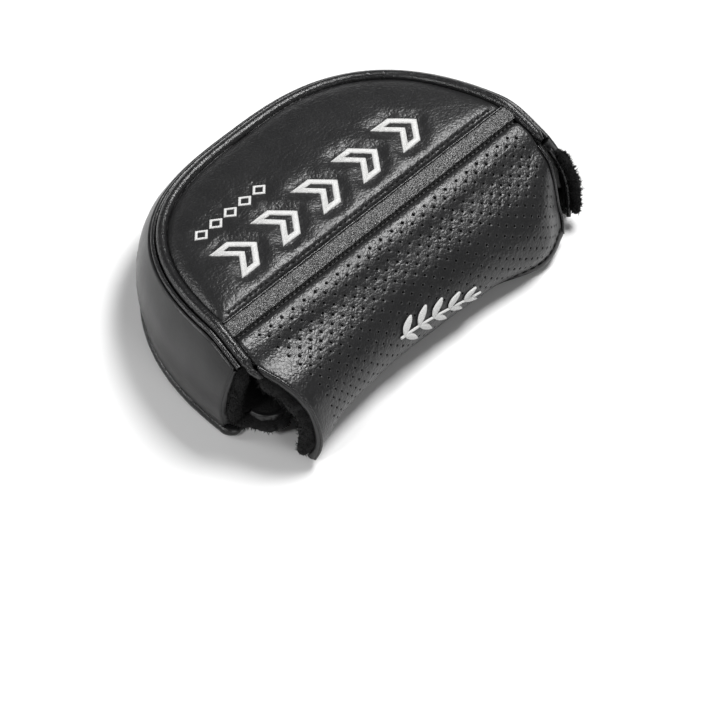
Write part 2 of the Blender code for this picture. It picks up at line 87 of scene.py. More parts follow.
# Flap sections from heel edge to toe edge, each from the fold down to the bottom edge
FLAP_SECTIONS = (
    ((-60.2, -15.0, 28.6), (-57.5, -24.0, 26.4), (-55.6, -30.5, 21.8), (-54.6, -34.2, 15.4),
     (-54.4, -36.0, 9.8), (-55.0, -36.3, 5.2), (-56.2, -35.6, 1.4)),
    ((-31.0, -15.0, 28.6), (-31.0, -23.8, 24.6), (-31.0, -29.6, 18.6), (-31.0, -31.8, 12.4),
     (-31.0, -31.0, 7.0), (-31.0, -28.0, 2.6), (-31.0, -23.6, 0.2)),
    ((-4.0, -15.0, 28.6), (-4.0, -23.0, 24.2), (-4.0, -28.6, 18.0), (-4.0, -30.6, 12.0),
     (-4.0, -29.8, 6.6), (-4.0, -27.2, 2.4), (-4.0, -23.4, 0.2)),
    ((24.0, -15.0, 28.6), (24.0, -23.5, 24.2), (24.0, -29.4, 18.2), (24.0, -31.8, 12.2),
     (24.0, -31.4, 7.0), (24.0, -28.6, 2.6), (24.0, -24.2, 0.4)),
    ((45.0, -15.0, 28.6), (45.0, -23.2, 24.4), (45.0, -29.6, 18.8), (44.6, -33.0, 13.0),
     (44.4, -34.2, 8.6), (44.2, -34.0, 5.4), (44.0, -33.2, 2.8)),
    ((59.4, -15.0, 28.6), (58.9, -19.8, 26.0), (58.6, -22.6, 21.4), (58.6, -24.4, 16.2),
     (58.5, -26.2, 11.2), (58.2, -28.4, 7.2), (56.6, -30.6, 3.4)),
)


# ---- the pattern's geometry

def world(x, y, z):
    """A point in metres from millimetres on the pattern."""
    return Vector((x, y + SEAM_Y, z)) * MM


def ease(value):
    """A smooth step from 0 to 1."""
    value = min(max(value, 0.0), 1.0)
    return value * value * (3 - 2 * value)


def ripple(x, y, z, size, seed=0.0):
    """Smooth noise from -1 to 1 whose bumps are about size millimetres across."""
    return noise.noise(Vector((x / size + seed, y / size - seed, z / size + 2.7 * seed)))


def outline(size, heel_y, toe_y, count, outset=0.0):
    """Points in plan from the heel mouth round the back to the toe mouth, evenly spaced."""
    wide, centre, depth, power = size

    def angle(y):
        ratio = (y - centre) / depth
        return math.copysign(math.asin(abs(ratio) ** (power / 2)), ratio)

    turn = np.linspace(angle(heel_y), math.pi - angle(toe_y), 900)
    x = -wide * np.sign(np.cos(turn)) * np.abs(np.cos(turn)) ** (2 / power)
    y = centre + depth * np.sign(np.sin(turn)) * np.abs(np.sin(turn)) ** (2 / power)
    run = np.concatenate(([0], np.cumsum(np.hypot(np.diff(x), np.diff(y)))))
    even = np.linspace(0, run[-1], count)
    x, y = np.interp(even, run, x), np.interp(even, run, y)
    dx, dy = np.gradient(x), np.gradient(y)
    length = np.hypot(dx, dy)
    return list(zip(x - outset * dy / length, y + outset * dx / length))


HALF_WIDTHS = {}


def half_width(size, y, inset=0.0):
    """Half the width of an outline at a depth, the outline moved inwards by inset."""
    if (size, inset) not in HALF_WIDTHS:
        line = outline(size, FOLD_Y - 12.0, FOLD_Y - 12.0, 401, -inset)[:201]
        HALF_WIDTHS[size, inset] = ([p[1] for p in line], [p[0] for p in line])
    return -float(np.interp(y, *HALF_WIDTHS[size, inset]))


def seam_height(y):
    """Height of the upper piping's centre: highest at the strip seam, lower both ways."""
    back = SEAM_ROUNDING * math.log1p(math.exp(y / SEAM_ROUNDING))
    return SEAM_HEIGHT + 0.3 - BACK_SLOPE * back - FRONT_DIP * (back - y)


def panel_height(y):
    return seam_height(y) + PANEL_RISE


def through(points, share):
    """A smooth curve through points, at a share of its length from 0 to 1."""
    spans = len(points) - 1
    place = min(max(share, 0.0), 1.0) * spans
    i = min(int(place), spans - 1)
    t = place - i
    a, b = points[i], points[i + 1]
    before = points[i - 1] if i > 0 else 2 * a - b
    after = points[i + 2] if i + 2 <= spans else 2 * b - a
    return 0.5 * (2 * a + (b - before) * t + (2 * before - 5 * a + 4 * b - after) * t ** 2
                  + (3 * a - before - 3 * b + after) * t ** 3)


# ---- making pieces

def deselect():
    if bpy.context.mode != "OBJECT":
        bpy.ops.object.mode_set(mode="OBJECT")
    bpy.ops.object.select_all(action="DESELECT")


def choose(piece):
    deselect()
    piece.select_set(True)
    bpy.context.view_layer.objects.active = piece


def apply_modifier(piece, kind, **settings):
    """Adds one modifier to the piece and applies it."""
    choose(piece)
    added = piece.modifiers.new(kind.title(), kind)
    for setting, value in settings.items():
        setattr(added, setting, value)
    bpy.ops.object.modifier_apply(modifier=added.name)


def smooth(piece, levels=1):
    apply_modifier(piece, "SUBSURF", levels=levels, render_levels=levels)


def sewn_sheet(name, cols, rows, place, thickness=LEATHER):
    """A sheet of leather or fabric: a grid put in place point by point, then given thickness.

    place(u, v) gives a point of its outer face; u runs from heel to toe and v from back to front,
    so that the outer face looks up or out.
    """
    deselect()
    bpy.ops.mesh.primitive_grid_add(x_subdivisions=cols, y_subdivisions=rows, size=2)
    piece = bpy.context.object
    piece.name = piece.data.name = name
    for vertex in piece.data.vertices:
        vertex.co = place((vertex.co.x + 1) / 2, (1 - vertex.co.y) / 2)
    if thickness:
        apply_modifier(piece, "SOLIDIFY", thickness=thickness * MM, offset=-1)
    bpy.ops.object.shade_smooth()
    return piece


def swept(name, count, sides, place, closed=False):
    """A round piece: a grid whose points place(u, v) puts on it, u along and v once round.

    Its seam is merged and its ends are filled, unless it closes on itself along its length.
    """
    deselect()
    bpy.ops.mesh.primitive_grid_add(x_subdivisions=count, y_subdivisions=sides, size=2)
    piece = bpy.context.object
    piece.name = piece.data.name = name
    for vertex in piece.data.vertices:
        vertex.co = place((vertex.co.x + 1) / 2, (vertex.co.y + 1) / 2)
    bpy.ops.object.mode_set(mode="EDIT")
    bpy.ops.mesh.select_all(action="SELECT")
    bpy.ops.mesh.remove_doubles(threshold=1e-7)
    if not closed:
        bpy.ops.mesh.fill_holes(sides=0)
    bpy.ops.mesh.normals_make_consistent(inside=False)
    bpy.ops.object.mode_set(mode="OBJECT")
    bpy.ops.object.shade_smooth_by_angle(angle=math.radians(60))
    return piece


def move_out(piece, distance):
    """Moves each point of a piece outwards by distance(place), both in millimetres."""
    moves = [(vertex.co.copy(), vertex.normal.copy()) for vertex in piece.data.vertices]
    moved = [spot + out * distance(spot / MM) * MM for spot, out in moves]
    piece.data.vertices.foreach_set("co", np.array(moved).ravel())
    piece.data.update()


def joined(name, pieces):
    """One piece made of several."""
    choose(pieces[0])
    for piece in pieces:
        piece.select_set(True)
    bpy.ops.object.join()
    pieces[0].name = pieces[0].data.name = name
    return pieces[0]


class Line:
    """A smooth line along points in metres, read by its share of the length, with side axes."""

    def __init__(self, points, up=Vector((0, 0, 1))):
        self.points = [Vector(p) for p in points]
        steps = [(b - a).length for a, b in zip(self.points, self.points[1:])]
        self.run = np.concatenate(([0], np.cumsum(steps)))
        self.length = float(self.run[-1])
        self.up = up

    def at(self, share):
        place = float(np.interp(share * self.length, self.run, range(len(self.points))))
        return through(self.points, place / (len(self.points) - 1))

    def axes(self, share):
        """The line's direction, the axis beside it and the axis over it."""
        ahead = self.at(min(share + 0.004, 1)) - self.at(max(share - 0.004, 0))
        ahead.normalize()
        beside = ahead.cross(self.up).normalized()
        return ahead, beside, beside.cross(ahead)


def cord_piece(name, line, radius, pitch, sides=14, wrinkle=0.0, taper=0.0):
    """A leather-covered cord: wrinkles run slantwise round it, and its ends may taper."""
    count = int(line.length / (pitch * MM))
    frames = [(line.at(i / count), line.axes(i / count)) for i in range(count + 1)]

    def place(u, v):
        i = round(u * count)
        centre, (_, beside, over) = frames[i]
        turn = math.tau * v
        along = i * pitch
        crease = math.sin(math.tau * along / 1.15 + turn + 5 * ripple(along, 0, 0, 9.0))
        crease *= max(0.0, ripple(along, math.cos(turn) * 3, math.sin(turn) * 3, 4.0) + 0.35)
        crease += 0.8 * ripple(along, math.cos(turn) * 2, math.sin(turn) * 2, 1.4, 3.0)
        ends = min(along, line.length / MM - along)
        reach = radius * MM * (1 + wrinkle * crease)
        if taper:
            reach *= 1 - 0.55 * (1 - ease(ends / taper))
        return centre + (beside * math.cos(turn) + over * math.sin(turn)) * reach

    return swept(name, count, sides, place)


def profile_piece(name, line, pitch, profile, wave=0.0):
    """A closed profile of (beside, over) points in millimetres, run along a line."""
    count = max(2, int(line.length / (pitch * MM)))
    frames = [(line.at(i / count), line.axes(i / count)) for i in range(count + 1)]
    corners = [Vector(p) for p in profile] + [Vector(profile[0])]
    around = len(profile)

    def place(u, v):
        i = round(u * count)
        centre, (_, beside, over) = frames[i]
        across, above = corners[round(v * around)]
        lift = wave * ripple(i * pitch, across * 2, above * 2, 2.2)
        return centre + (beside * across + over * (above + lift)) * MM

    return swept(name, count, around, place)


def stitches(name, line, pitch, length, radius, slant=0.0):
    """A row of sewing: one short thread per stitch, each a slim ellipsoid laid along the line."""
    count = int(line.length / (pitch * MM))
    deselect()
    bpy.ops.mesh.primitive_uv_sphere_add(segments=6, ring_count=5, radius=1)
    first = bpy.context.object
    made = []
    for k in range(count):
        share = (k + 0.5) / count
        ahead, beside, over = line.axes(share)
        ahead = (ahead + beside * slant * (-1) ** k).normalized()
        beside = over.cross(ahead)
        copy = first.copy()
        copy.data = first.data.copy()
        bpy.context.collection.objects.link(copy)
        place = line.at(share)
        turn = Matrix((ahead * length / 2, beside * radius, over * radius)).transposed() * MM
        for vertex in copy.data.vertices:
            vertex.co = place + turn @ vertex.co
        made.append(copy)
    bpy.data.objects.remove(first)
    piece = joined(name, made)
    bpy.ops.object.shade_smooth()
    return piece


def satin_ribs(name, ribs, rise, surface, closed=False):
    """Satin stitching: threads laid side by side, each rib a pair of ends on the leather.

    surface(x, y) gives a world point on the leather and the direction out of it.
    """
    count = len(ribs) if closed else len(ribs) - 1

    def place(u, v):
        i = round(u * count) % len(ribs)
        a, b = ribs[i]
        turn = math.tau * v
        ragged = 1 + 0.07 * ripple(i * 1.7, a.x, a.y, 1.0) - (0.0 if i % 2 else 0.035)
        spot = (a + b) / 2 + (b - a) / 2 * math.cos(turn) * ragged
        point, out = surface(spot.x, spot.y)
        above = math.sin(turn)
        lift = rise * (1.0 if i % 2 else 0.76) * above if above > 0 else 0.3 * above
        return point + out * lift * MM

    return swept(name, count, 12, place, closed)


def satin_loop(name, outer, inner, pitch, rise, surface):
    """A closed outline in satin stitching between an outer and an inner ring of corners."""
    ribs = []
    corners = len(outer)
    for i in range(corners):
        j = (i + 1) % corners
        a, b, c, d = (Vector(p) for p in (outer[i], outer[j], inner[i], inner[j]))
        steps = max(2, round(((b - a).length + (d - c).length) / 2 / pitch))
        ribs += [(a.lerp(b, k / steps), c.lerp(d, k / steps)) for k in range(steps)]
    if len(ribs) % 2:
        ribs.pop()
    return satin_ribs(name, ribs, rise, surface, closed=True)


def tufts(name, roots, length, thick, seed):
    """A pile of short curved fibres; roots is a list of (point, direction) in metres."""
    draw = np.random.default_rng(seed)
    points, faces = [], []
    for root, out in roots:
        lean = Vector(draw.normal(0, 0.55, 3))
        grow = (out + lean).normalized()
        bend = Vector(draw.normal(0, 0.5, 3))
        tall = length * draw.uniform(0.55, 1.25)
        side = grow.orthogonal().normalized()
        other = grow.cross(side)
        base = len(points)
        for level, share in ((0.0, 1.0), (0.55, 0.75)):
            centre = root + (grow * level + bend * level * level * 0.45) * tall * MM
            for k in range(3):
                turn = math.tau * k / 3
                edge = (side * math.cos(turn) + other * math.sin(turn)) * thick * share * MM
                points.append(centre + edge)
        points.append(root + (grow + bend * 0.45) * tall * MM)
        for k in range(3):
            j = (k + 1) % 3
            faces.append((base + k, base + j, base + 3 + j, base + 3 + k))
            faces.append((base + 3 + k, base + 3 + j, base + 6))
        faces.append((base + 2, base + 1, base))
    data = bpy.data.meshes.new(name)
    data.from_pydata(points, [], faces)
    piece = bpy.data.objects.new(name, data)
    bpy.context.collection.objects.link(piece)
    choose(piece)
    bpy.ops.object.shade_smooth()
    return piece


# ---- finishes

class Finish:
    """A Principled material with a few helpers for its nodes."""

    def __init__(self, name, colour, roughness, metallic=0.0, **sockets):
        self.material = bpy.data.materials.new(name)
        self.material.use_nodes = True
        self.tree = self.material.node_tree
        self.shader = self.tree.nodes["Principled BSDF"]
        self.shader.inputs["Base Color"].default_value = (*colour, 1)
        self.shader.inputs["Roughness"].default_value = roughness
        self.shader.inputs["Metallic"].default_value = metallic
        for socket, value in sockets.items():
            self.shader.inputs[socket.replace("_", " ")].default_value = value
        self.normal = None

    def node(self, kind, inputs=None, **settings):
        added = self.tree.nodes.new(kind)
        for setting, value in settings.items():
            setattr(added, setting, value)
        for socket, value in (inputs or {}).items():
            if isinstance(value, bpy.types.NodeSocket):
                self.tree.links.new(value, added.inputs[socket])
            else:
                added.inputs[socket].default_value = value
        return added

    def place(self, stretch=(1, 1, 1)):
        """The piece's own coordinates in millimetres, times stretch."""
        coordinates = self.node("ShaderNodeTexCoord").outputs["Object"]
        scale = tuple(s / MM for s in stretch)
        return self.node("ShaderNodeMapping", {"Vector": coordinates, "Scale": scale}).outputs[0]

    def noise(self, where, size, detail=3.0, rough=0.55):
        made = self.node("ShaderNodeTexNoise", {"Vector": where, "Scale": 1 / size,
                                                "Detail": detail, "Roughness": rough})
        return made.outputs["Fac"]

    def cells(self, where, size, feature="F1"):
        made = self.node("ShaderNodeTexVoronoi", {"Vector": where, "Scale": 1 / size},
                         feature=feature)
        return made.outputs["Distance"]

    def ramp(self, value, low, high, to_low=0.0, to_high=1.0):
        made = self.node("ShaderNodeMapRange", {"Value": value, "From Min": low, "From Max": high,
                                                "To Min": to_low, "To Max": to_high})
        return made.outputs["Result"]

    def bump(self, height, depth, strength=1.0):
        """Adds one more layer of relief, depth millimetres deep."""
        inputs = {"Height": height, "Distance": depth * MM, "Strength": strength}
        if self.normal is not None:
            inputs["Normal"] = self.normal
        self.normal = self.node("ShaderNodeBump", inputs).outputs["Normal"]
        self.tree.links.new(self.normal, self.shader.inputs["Normal"])

    def tint(self, value, dark, light):
        """Base colour between two colours."""
        mixed = self.node("ShaderNodeMix", data_type="RGBA")
        self.tree.links.new(value, mixed.inputs["Factor"])
        for socket in mixed.inputs:
            if socket.type == "RGBA" and socket.name == "A":
                socket.default_value = (*dark, 1)
            if socket.type == "RGBA" and socket.name == "B":
                socket.default_value = (*light, 1)
        result = [s for s in mixed.outputs if s.type == "RGBA"][0]
        self.tree.links.new(result, self.shader.inputs["Base Color"])

    def roughen(self, value, low, high):
        self.tree.links.new(self.ramp(value, 0.3, 0.7, low, high), self.shader.inputs["Roughness"])


def leather(name, grain, depth, low, high, creases=0.0):
    """Black leather: pebbled grain of a size in millimetres, wear in its gloss, fine creases."""
    finish = Finish(name, (0.012, 0.012, 0.0125), 0.4)
    where = finish.place()
    wide = finish.noise(where, 9.0, 3.0)
    pebbles = finish.cells(where, grain, "DISTANCE_TO_EDGE")
    fine = finish.noise(where, grain * 0.35, 3.0, 0.55)
    if creases:
        folds = finish.noise(finish.place((1.6, 0.5, 0.5)), 1.5, 3.0, 0.6)
        finish.bump(folds, creases)
    finish.bump(wide, 0.12)
    finish.bump(finish.noise(where, grain, 2.0, 0.5), depth * 2.2)
    finish.bump(finish.ramp(pebbles, 0.0, 0.3), depth * 0.6)
    finish.bump(fine, depth * 0.5)
    finish.roughen(wide, low, high)
    finish.tint(fine, (0.007, 0.007, 0.0075), (0.017, 0.017, 0.0175))
    return finish.material


def make_finishes():
    made = {
        "panel": leather("panel_leather", 1.3, 0.075, 0.33, 0.41),
        "flap": leather("perforated_leather", 1.25, 0.075, 0.32, 0.40, creases=0.04),
        "wall": leather("wall_leather", 0.42, 0.02, 0.30, 0.38),
        "cord": leather("piping_leather", 0.5, 0.04, 0.20, 0.30),
    }
    band = Finish("trim_weave", (0.012, 0.012, 0.012), 0.5)
    where = band.place()
    nubs = band.cells(where, 0.6)
    specks_with_painted_glints = band.noise(where, 0.24, 2.0, 0.7)
    band.bump(nubs, 0.45)
    band.bump(specks_with_painted_glints, 0.16)
    # The bright specks in the strip's base colour are painted glints of the weave; the same noise also
    # gives its bumps and its gloss.
    band.tint(band.ramp(specks_with_painted_glints, 0.50, 0.64), (0.004, 0.004, 0.004), (0.50, 0.50, 0.50))
    band.roughen(specks_with_painted_glints, 0.6, 0.25)
    made["band"] = band.material

    plush = Finish("plush_pile", (0.006, 0.006, 0.006), 0.9)
    where = plush.place()
    clumps = plush.noise(where, 1.6, 4.0, 0.7)
    fibres = plush.noise(where, 0.22, 3.0, 0.75)
    plush.bump(clumps, 0.9)
    plush.bump(fibres, 0.35)
    plush.tint(fibres, (0.0015, 0.0015, 0.0015), (0.010, 0.010, 0.0105))
    plush.shader.inputs["Specular IOR Level"].default_value = 0.2
    plush.shader.inputs["Sheen Weight"].default_value = 0.06
    plush.shader.inputs["Sheen Roughness"].default_value = 0.5
    made["plush"] = plush.material

    foam = Finish("open_cell_foam", (0.10, 0.10, 0.10), 0.95)
    where = foam.place()
    cells = foam.cells(where, 0.5)
    foam.bump(cells, 0.3)
    foam.tint(cells, (0.03, 0.03, 0.03), (0.13, 0.13, 0.13))
    made["foam"] = foam.material

    white = Finish("white_thread", (0.7, 0.7, 0.69), 0.45)
    where = white.place()
    ply = white.noise(where, 0.2, 2.0)
    white.bump(ply, 0.09)
    white.tint(white.ramp(ply, 0.35, 0.65), (0.46, 0.46, 0.455), (0.76, 0.76, 0.75))
    white.shader.inputs["Sheen Weight"].default_value = 0.15
    made["white"] = white.material

    black = Finish("black_thread", (0.004, 0.004, 0.004), 0.7, Specular_IOR_Level=0.2)
    where = black.place()
    ply = black.noise(where, 0.12, 2.0)
    black.bump(ply, 0.06)
    black.tint(ply, (0.002, 0.002, 0.002), (0.007, 0.007, 0.007))
    made["black"] = black.material

    nickel = Finish("nickel_plate", (0.60, 0.60, 0.61), 0.24, 1.0)
    turned = nickel.noise(nickel.place((1, 1, 6)), 0.9, 3.0)
    nickel.roughen(turned, 0.18, 0.34)
    nickel.bump(turned, 0.01)
    made["nickel"] = nickel.material

    hole = Finish("hole_shade", (0.002, 0.002, 0.002), 0.95)
    speck = hole.noise(hole.place(), 0.3)
    hole.bump(speck, 0.05)
    hole.tint(speck, (0.001, 0.001, 0.001), (0.004, 0.004, 0.004))
    hole.shader.inputs["Specular IOR Level"].default_value = 0.1
    made["hole"] = hole.material

    board = Finish("pressed_board", (0.05, 0.05, 0.052), 0.62)
    fibre = board.noise(board.place(), 0.4, 4.0, 0.7)
    board.bump(fibre, 0.05)
    board.tint(fibre, (0.03, 0.03, 0.031), (0.07, 0.07, 0.072))
    made["board"] = board.material
    return made


FINISHES = make_finishes()


def finished(piece, finish, body="shell", nodes=()):
    """Gives a piece its material and its body, and hides the CAD nodes it stands for."""
    piece.data.materials.clear()
    piece.data.materials.append(FINISHES[finish])
    if body:
        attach(piece, body)
    if nodes:
        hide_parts(*nodes)
    return piece


# ---- embroidery figures, as centre lines of satin strokes on the pattern

STROKE = 1.9
CHEVRON_XS = (-37.0, -20.0, -3.0, 14.0, 31.0)
CHEVRON_Y = 14.0
CHEVRON_HALF = 6.6
CHEVRON_REACH = 6.8
CHEVRON_DEPTH = 5.6
CHAIN_START_X = -42.0
CHAIN_Y = 28.0
CHAIN_LINKS = 5
CHAIN_STEP = 6.0
CHAIN_HALF = 2.5
CHAIN_STROKE = 0.8
THREAD_PITCH = 0.26


def chevron_ring(x, margin):
    """Corners of a hollow chevron that points to the toe, moved inwards by margin."""
    slope = math.hypot(CHEVRON_HALF, CHEVRON_DEPTH) / CHEVRON_HALF * margin
    rise = CHEVRON_DEPTH / CHEVRON_HALF * margin
    half = CHEVRON_HALF - margin
    back, front = x - CHEVRON_REACH + slope, x + 0.6 - slope
    return [(back + rise, CHEVRON_Y - half), (front + rise, CHEVRON_Y - half),
            (front + CHEVRON_DEPTH, CHEVRON_Y), (front + rise, CHEVRON_Y + half),
            (back + rise, CHEVRON_Y + half), (back + CHEVRON_DEPTH, CHEVRON_Y)]


def link_ring(k, margin):
    """Corners of one small diamond link, moved inwards by margin."""
    x = CHAIN_START_X + CHAIN_STEP * (k + 0.5)
    reach, half = CHAIN_STEP * 0.46, CHAIN_HALF
    slope = math.hypot(reach, half)
    reach, half = reach - margin * slope / half, half - margin * slope / reach
    return [(x - reach, CHAIN_Y), (x, CHAIN_Y - half), (x + reach, CHAIN_Y), (x, CHAIN_Y + half)]


def sides(ring):
    return list(zip(ring, ring[1:] + ring[:1]))


STROKES = [side for x in CHEVRON_XS for side in sides(chevron_ring(x, STROKE / 2))]
LINKS = [side for k in range(CHAIN_LINKS) for side in sides(link_ring(k, CHAIN_STROKE / 2))]


def stroke_distance(x, y, segments):
    """Distance in plan from each point to the nearest stroke; x and y are arrays."""
    best = np.full(len(x), 1e3)
    for (ax, ay), (bx, by) in segments:
        run = (bx - ax) ** 2 + (by - ay) ** 2
        share = np.clip(((x - ax) * (bx - ax) + (y - ay) * (by - ay)) / run, 0, 1)
        best = np.minimum(best, np.hypot(x - ax - share * (bx - ax), y - ay - share * (by - ay)))
    return best


# ---- sole panel: a padded dome, with topstitching along its seam and puckers at the embroidery

RIM_INSET = 1.45
TOPSTITCH_Y = 1.7
TOPSTITCH_PITCH = 2.2
DOME = 2.5
RIM_DROP = 1.5


RIM_FRONT = 0.35


def rim_line():
    return outline(SOLE_OUTLINE, RIM_FRONT, RIM_FRONT, 240, -RIM_INSET)


def sole_height(x, y):
    """Height of the sole panel's outer face; x and y are arrays on the pattern."""
    rim = np.array(rim_line())
    edge = np.array([np.hypot(rim[:, 0] - a, rim[:, 1] - b).min() for a, b in zip(x, y)])
    front = np.maximum(y - 0.3, 0)
    base = np.array([panel_height(b) for b in y]) - RIM_DROP
    shoulder = (1 - np.exp(-edge / 1.5)) * (1 - 0.9 * np.exp(-front / 1.3))
    swell = (1 - np.exp(-edge / 6.5)) * (1 - np.exp(-front / 8.0))
    height = base + (RIM_DROP + 0.2) * shoulder + DOME * swell
    inside = half_width(SOLE_OUTLINE, TOPSTITCH_Y, RIM_INSET) - 2.0 - np.abs(x)
    groove = np.exp(-((y - TOPSTITCH_Y) / 0.5) ** 2) * np.clip(inside, 0, 1)
    height -= 0.16 * groove
    for segments, reach, depth in ((STROKES, STROKE / 2, 0.72), (LINKS, CHAIN_STROKE / 2, 0.40)):
        away = np.maximum(stroke_distance(x, y, segments) - reach, 0)
        height -= depth * np.exp(-(away / 2.5) ** 2)
        pull = np.array([ripple(a, b, 0, 2.8, 4.0) for a, b in zip(x, y)])
        height += 0.26 * pull * np.exp(-(away / 3.4) ** 2) * np.minimum(away / 1.5, 1)
    height += np.array([0.35 * ripple(a, b, 0, 17.0, 1.0) + 0.1 * ripple(a, b, 0, 5.0, 2.0)
                        for a, b in zip(x, y)])
    return height


def sole_grid(u, v):
    """Plan place on the panel of a grid share: rows lie closer together at the back."""
    front, back = 0.3, SOLE_OUTLINE[1] + SOLE_OUTLINE[2] - RIM_INSET - 0.1
    y = front + (back - front) * (0.5 - 0.5 * math.cos((1 - v) * math.pi))
    return (2 * u - 1) * half_width(SOLE_OUTLINE, y, RIM_INSET), y


def make_sole_pad():
    cols, rows = 230, 150
    spots = [sole_grid(i / cols, j / rows) for j in range(rows + 1) for i in range(cols + 1)]
    xs, ys = (np.array(side) for side in zip(*spots))
    heights = sole_height(xs, ys)

    def place(u, v):
        k = round(v * rows) * (cols + 1) + round(u * cols)
        return world(xs[k], ys[k], heights[k])

    piece = sewn_sheet("sole_pad", cols, rows, place)
    finished(piece, "panel", nodes=["sole_panel"])
    return piece


SURFACE_STEP = 0.3


def sole_surface():
    xs = np.arange(-56, 56.1, SURFACE_STEP)
    ys = np.arange(1, 36.1, SURFACE_STEP)
    grid_x, grid_y = np.meshgrid(xs, ys)
    heights = sole_height(grid_x.ravel(), grid_y.ravel()).reshape(grid_x.shape)

    def height(x, y):
        column = np.interp(y, ys, np.arange(len(ys)))
        row = np.interp(x, xs, np.arange(len(xs)))
        i, j = min(int(column), len(ys) - 2), min(int(row), len(xs) - 2)
        s, t = column - i, row - j
        return ((1 - s) * ((1 - t) * heights[i, j] + t * heights[i, j + 1])
                + s * ((1 - t) * heights[i + 1, j] + t * heights[i + 1, j + 1]))

    def surface(x, y):
        out = Vector((height(x - 1.5, y) - height(x + 1.5, y),
                      height(x, y - 1.5) - height(x, y + 1.5), 3.0)).normalized()
        return world(x, y, height(x, y)), out

    return surface


def make_embroidery():
    surface = sole_surface()
    for k, x in enumerate(CHEVRON_XS):
        piece = satin_loop(f"chevron_embroidery_{k + 1}", chevron_ring(x, 0),
                           chevron_ring(x, STROKE), THREAD_PITCH, 0.62, surface)
        finished(piece, "white", nodes=[f"sole_chevron_{k + 1}"])
    links = [satin_loop("link", link_ring(k, 0), link_ring(k, CHAIN_STROKE), THREAD_PITCH, 0.36,
                        surface) for k in range(CHAIN_LINKS)]
    finished(joined("chain_embroidery", links), "white", nodes=["sole_chain"])


# ---- trim strip, the panel's turned edge above it and the sewing on both sides

def strip_top(y):
    """Height of the strip's face between its two seams."""
    share = (y + STRIP_WIDTH) / STRIP_WIDTH
    return panel_height(y) - 0.75 + 0.75 * math.sin(math.pi * min(max(share, 0), 1)) ** 0.6


def make_strip():
    cols, rows = 420, 18

    def place(u, v):
        y = -0.25 - (STRIP_WIDTH - 0.5) * v
        x = (2 * u - 1) * half_width(SOLE_OUTLINE, y, RIM_INSET)
        nub = 0.09 * ripple(x, y, 0, 0.55) + 0.12 * ripple(x, y, 0, 4.0)
        return world(x, y, strip_top(y) + nub)

    piece = sewn_sheet("trim_band", cols, rows, place)
    finished(piece, "band", nodes=["trim_strip"])

    reach = half_width(SOLE_OUTLINE, 0.0, RIM_INSET) - 0.4
    points = []
    for i in range(81):
        x = reach * (i / 40 - 1)
        points.append(world(x, 0.05 + 0.12 * ripple(x, 0, 0, 7.0),
                            panel_height(0) - 0.55 + 0.06 * ripple(x, 3, 0, 3.0)))
    profile = [(0.42 * math.cos(a), 0.5 * math.sin(a)) for a in np.linspace(0, math.tau, 11)[:-1]]
    piece = profile_piece("panel_turned_edge", Line(points), 0.7, profile, 0.08)
    finished(piece, "cord")

    reach = half_width(SOLE_OUTLINE, TOPSTITCH_Y, RIM_INSET) - 2.5
    count = int(2 * reach / TOPSTITCH_PITCH)
    reach = count * TOPSTITCH_PITCH / 2
    xs = np.linspace(-reach, reach, count + 1)
    heights = sole_height(xs, np.full(len(xs), TOPSTITCH_Y))
    line = Line([world(x, TOPSTITCH_Y, h + 0.06) for x, h in zip(xs, heights)])
    piece = stitches("panel_topstitch", line, TOPSTITCH_PITCH, 1.2, 0.3)
    finished(piece, "black", nodes=["strip_topstitch"])

    y = -STRIP_WIDTH - 0.05
    reach = half_width(SOLE_OUTLINE, y, RIM_INSET) - 0.8
    line = Line([world(reach * (i / 20 - 1), y, panel_height(y) - 0.72) for i in range(41)])
    piece = stitches("band_seam_stitch", line, 1.75, 1.5, 0.3, slant=0.12)
    finished(piece, "black", nodes=["yoke_topstitch"])


# ---- perforated leather from the strip's seam over the yoke and down the putter's face

YOKE_PROFILE = ((-5.3, -0.95), (-5.75, -0.2), (-6.9, 0.3), (-9.5, 0.62), (-12.3, 0.45))
FACE_COLS = 52
FACE_ROWS = 25
HOLE_RADIUS = 0.72
HOLE_DEPTH = 0.8


def face_sections():
    sections = []
    for section in FLAP_SECTIONS:
        fold = section[0]
        wide = half_width(SOLE_OUTLINE, fold[1], RIM_INSET + 0.6)
        rows = []
        for y, rise in YOKE_PROFILE:
            x = fold[0] * half_width(SOLE_OUTLINE, y, RIM_INSET + 0.1) / wide
            rows.append(Vector((x, y, panel_height(y) + rise)))
        sections.append(rows + [Vector(p) for p in section])
    return sections


FACE_SECTIONS = face_sections()


def face_raw(across, down):
    return through([through(section, down) for section in FACE_SECTIONS], across)


def even_shares(path, count):
    """Shares along a path that space count + 1 points evenly."""
    shares = np.linspace(0, 1, 121)
    points = [path(s) for s in shares]
    run = np.concatenate(([0], np.cumsum([(b - a).length for a, b in zip(points, points[1:])])))
    return np.interp(np.linspace(0, run[-1], count + 1), run, shares), float(run[-1])


ACROSS_SHARES, FACE_WIDTH = even_shares(lambda s: face_raw(s, 0.42), 400)
DOWN_TABLE = {}


def face_spot(u, v):
    """A point on the face leather in millimetres and its outward direction.

    u and v are shares of the leather's own width and length, so spacing on it is even.
    """
    across = float(np.interp(u, np.linspace(0, 1, 401), ACROSS_SHARES))
    key = round(u * 800)
    if key not in DOWN_TABLE:
        DOWN_TABLE[key] = even_shares(lambda s: face_raw(across, s), 200)[0]
    down = float(np.interp(v, np.linspace(0, 1, 201), DOWN_TABLE[key]))
    step = 0.008
    a = face_raw(min(across + step, 1), down) - face_raw(max(across - step, 0), down)
    b = face_raw(across, min(down + step, 1)) - face_raw(across, max(down - step, 0))
    return face_raw(across, down), b.cross(a).normalized()


